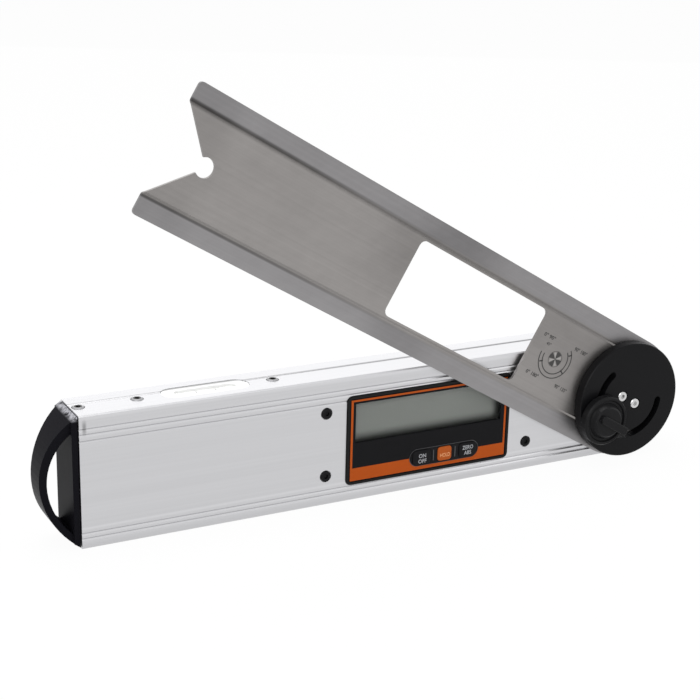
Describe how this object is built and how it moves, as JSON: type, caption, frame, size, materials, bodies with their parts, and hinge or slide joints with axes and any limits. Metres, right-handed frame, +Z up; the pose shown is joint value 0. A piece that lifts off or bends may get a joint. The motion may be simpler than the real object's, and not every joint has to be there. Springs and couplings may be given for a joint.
{
  "type": "digital angle finder",
  "caption": "Digital angle finder: a box-section body with a display and a handle, and a flat arm with a window and a notched end that swings on a hub with a lock knob.",
  "frame": {"origin": "middle of the body's flat base face", "axes": "+X along the body from the handle to the pivot, +Y from the front to the back, +Z up"},
  "size_m": [0.3225, 0.0415, 0.1951],
  "materials": {
    "aluminium": "fine brushed along the length",
    "sheet_steel": "brushed along the arm",
    "bright_steel": "smooth",
    "brass": "machined",
    "black_plastic": "fine moulded texture",
    "black_screw": "black coating",
    "orange_plastic": "smooth",
    "printed_lens": "printed black and orange, clear over the display",
    "display_glass": "grey liquid crystal display",
    "circuit_green": "solder mask",
    "white_nylon": "smooth",
    "clear_acrylic": "clear",
    "amber_film": "flexible film"
  },
  "bodies": {
    "housing": {"body_profile": "aluminium", "lock_bolt": "bright_steel", "coin_cell": "bright_steel", "cell_contact": "bright_steel", "on_off_dome": "bright_steel", "hold_dome": "bright_steel", "zero_dome": "bright_steel", "end_cap_handle": "black_plastic", "pivot_end_cap": "black_plastic", "display_bezel": "black_plastic", "module_tray": "black_plastic", "tray_screw_1": "black_screw", "tray_screw_2": "black_screw", "tray_screw_3": "black_screw", "tray_screw_4": "black_screw", "end_cap_screw": "black_screw", "vial_screw_left": "black_screw", "vial_screw_right": "black_screw", "pivot_cap_screw": "black_screw", "display_lens": "printed_lens", "lcd_panel": "display_glass", "circuit_board": "circuit_green", "encoder_stator": "circuit_green", "pivot_bush": "white_nylon", "vial_cradle": "white_nylon", "level_vial": "clear_acrylic", "encoder_flex": "amber_film"},
    "arm": {"arm_blade": "sheet_steel", "hub_disc": "black_plastic", "pivot_rotor": "bright_steel", "thrust_washer": "white_nylon", "encoder_rotor": "circuit_green", "hub_screw_1": "bright_steel", "hub_screw_2": "bright_steel"},
    "lock": {"lock_knob": "black_plastic", "lock_washer": "bright_steel", "knob_insert": "brass"},
    "on_off": {"on_off_button": "black_plastic"},
    "hold": {"hold_button": "orange_plastic"},
    "zero": {"zero_button": "black_plastic"},
    "cell_cap": {"battery_cap": "black_plastic"}
  },
  "joints": [
    {"name": "arm_swing", "type": "hinge", "parent": "housing", "child": "arm", "pos_m": [0.134, -0.012, 0.03], "axis": [0, 1, 0], "range_deg": [-30.5, 149.5]},
    {"name": "lock_turn", "type": "hinge", "parent": "housing", "child": "lock", "pos_m": [0.11761, -0.012, 0.02304], "axis": [0, -1, 0], "range_deg": [0, 120]},
    {"name": "on_off_press", "type": "slide", "parent": "housing", "child": "on_off", "axis": [0, 1, 0], "range_m": [0, 0.0008], "stiffness_N_per_m": 1500, "springref_m": -0.0006},
    {"name": "hold_press", "type": "slide", "parent": "housing", "child": "hold", "axis": [0, 1, 0], "range_m": [0, 0.0008], "stiffness_N_per_m": 1500, "springref_m": -0.0006},
    {"name": "zero_press", "type": "slide", "parent": "housing", "child": "zero", "axis": [0, 1, 0], "range_m": [0, 0.0008], "stiffness_N_per_m": 1500, "springref_m": -0.0006},
    {"name": "cell_cap_turn", "type": "hinge", "parent": "housing", "child": "cell_cap", "pos_m": [0.0259, 0.012, 0.02915], "axis": [0, 1, 0], "range_deg": [0, 60]}
  ]
}
